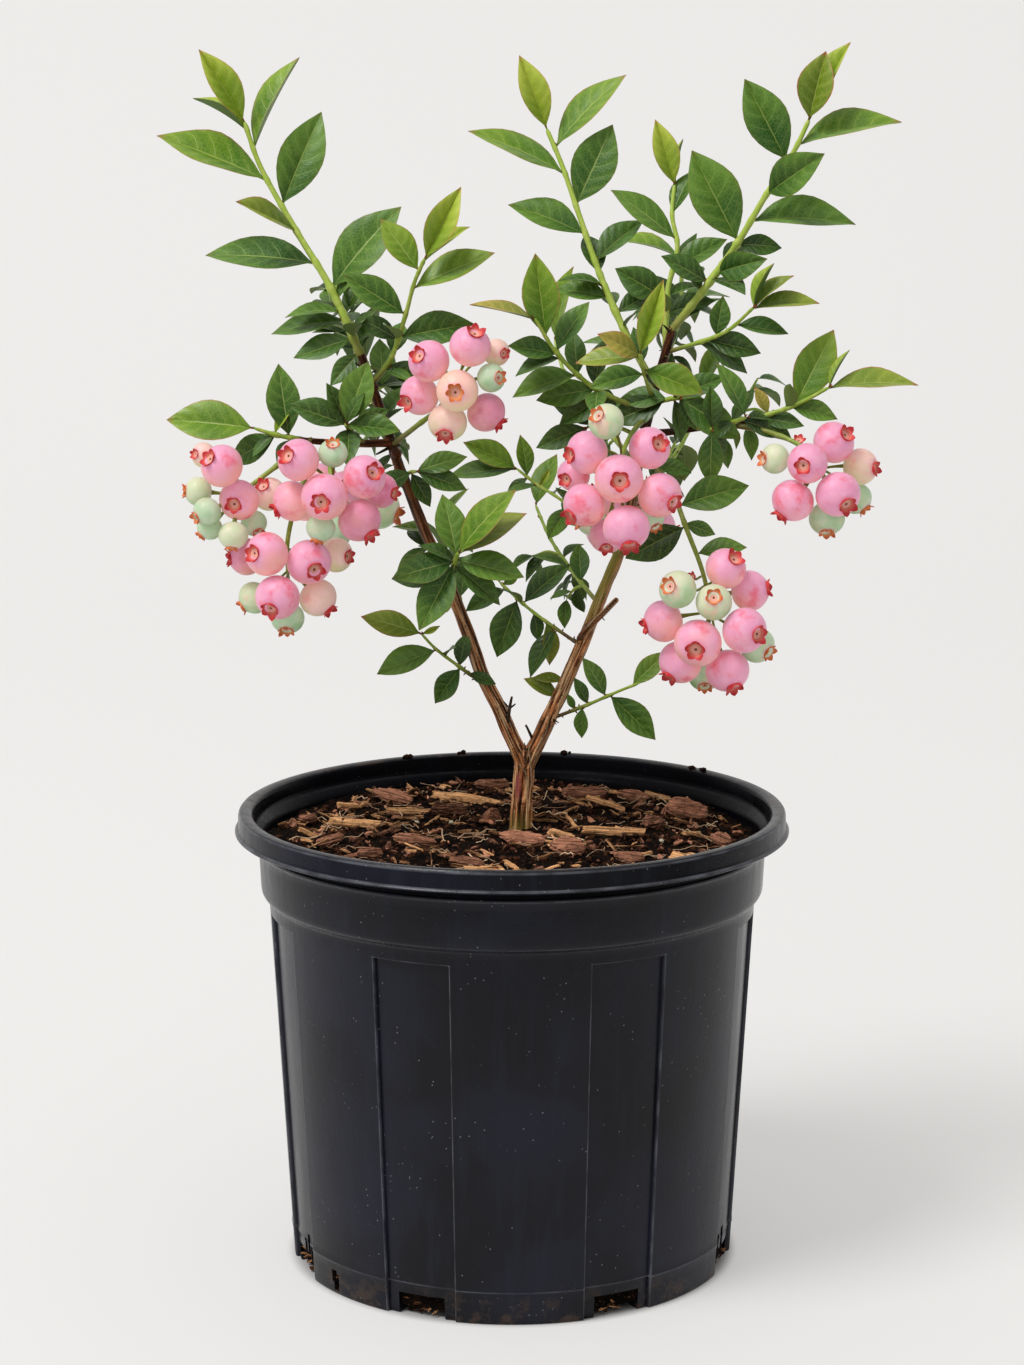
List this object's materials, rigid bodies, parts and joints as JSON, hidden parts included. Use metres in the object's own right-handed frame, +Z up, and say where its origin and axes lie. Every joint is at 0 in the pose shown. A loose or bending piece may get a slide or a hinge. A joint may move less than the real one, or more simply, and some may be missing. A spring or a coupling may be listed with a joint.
{
  "type": "blueberry bush in a nursery pot",
  "caption": "Young two-stemmed blueberry bush with upright leafy shoots and bunches of pink berries, in a round black nursery pot of bark-topped mix.",
  "frame": {"origin": "centre of the pot's flat underside", "axes": "+Z up, +X along the bush's broad face, -Y out of the face that carries most of the fruit"},
  "size_m": [0.3, 0.225, 0.4913],
  "materials": {
    "black_plastic": "satin black polypropylene, lightly scuffed, with sunk panels",
    "potting_mix": "dark brown peat and bark mix with loose bark chips, twigs and straw",
    "bark": "thin brown bark with long fissures and tan streaks",
    "dead_wood": "dark, dry dead wood",
    "leaves": "semi-gloss green leaves with a paler midrib, yellow-green at the shoot tips, on lime-green shoots",
    "berries": "waxy pink skin with a faint bloom, unripe ones cream to mint green, each with a red five-lobed crown"
  },
  "bodies": {
    "root": {"pot": "black_plastic", "potting_mix": "potting_mix", "trunk": "bark", "left_stem": "bark", "right_stem": "bark", "left_branch": "bark", "right_branch": "bark", "dead_stub": "dead_wood", "berries_far_left": "berries", "berries_left": "berries", "berries_left_low": "berries", "berries_centre_left": "berries", "berries_centre": "berries", "berries_right_low": "berries", "berries_right": "berries", "berries_back_left": "berries", "berries_back_right": "berries", "shoot_left_leader": "leaves", "shoot_left_fork": "leaves", "shoot_left_side": "leaves", "rosette_left": "leaves", "shoot_centre_leader": "leaves", "shoot_second_leader": "leaves", "shoot_right_leader": "leaves", "shoot_right_side": "leaves", "shoot_front": "leaves", "shoot_inner_left": "leaves", "shoot_inner_low": "leaves", "shoot_right_side_low": "leaves", "rosette_right": "leaves", "sprig_right_branch": "leaves", "rosette_right_stem": "leaves", "shoot_left_front": "leaves", "sprig_left_stem": "leaves", "shoot_lower_left": "leaves", "shoot_middle": "leaves", "shoot_upper_left": "leaves", "shoot_low_right": "leaves", "shoot_back_left_high": "leaves", "shoot_back_left_mid": "leaves", "shoot_back_centre": "leaves", "shoot_back_right_high": "leaves", "shoot_back_right_mid": "leaves", "shoot_back_low": "leaves", "shoot_back_left_low": "leaves", "shoot_back_right_side": "leaves"}
  },
  "joints": []
}
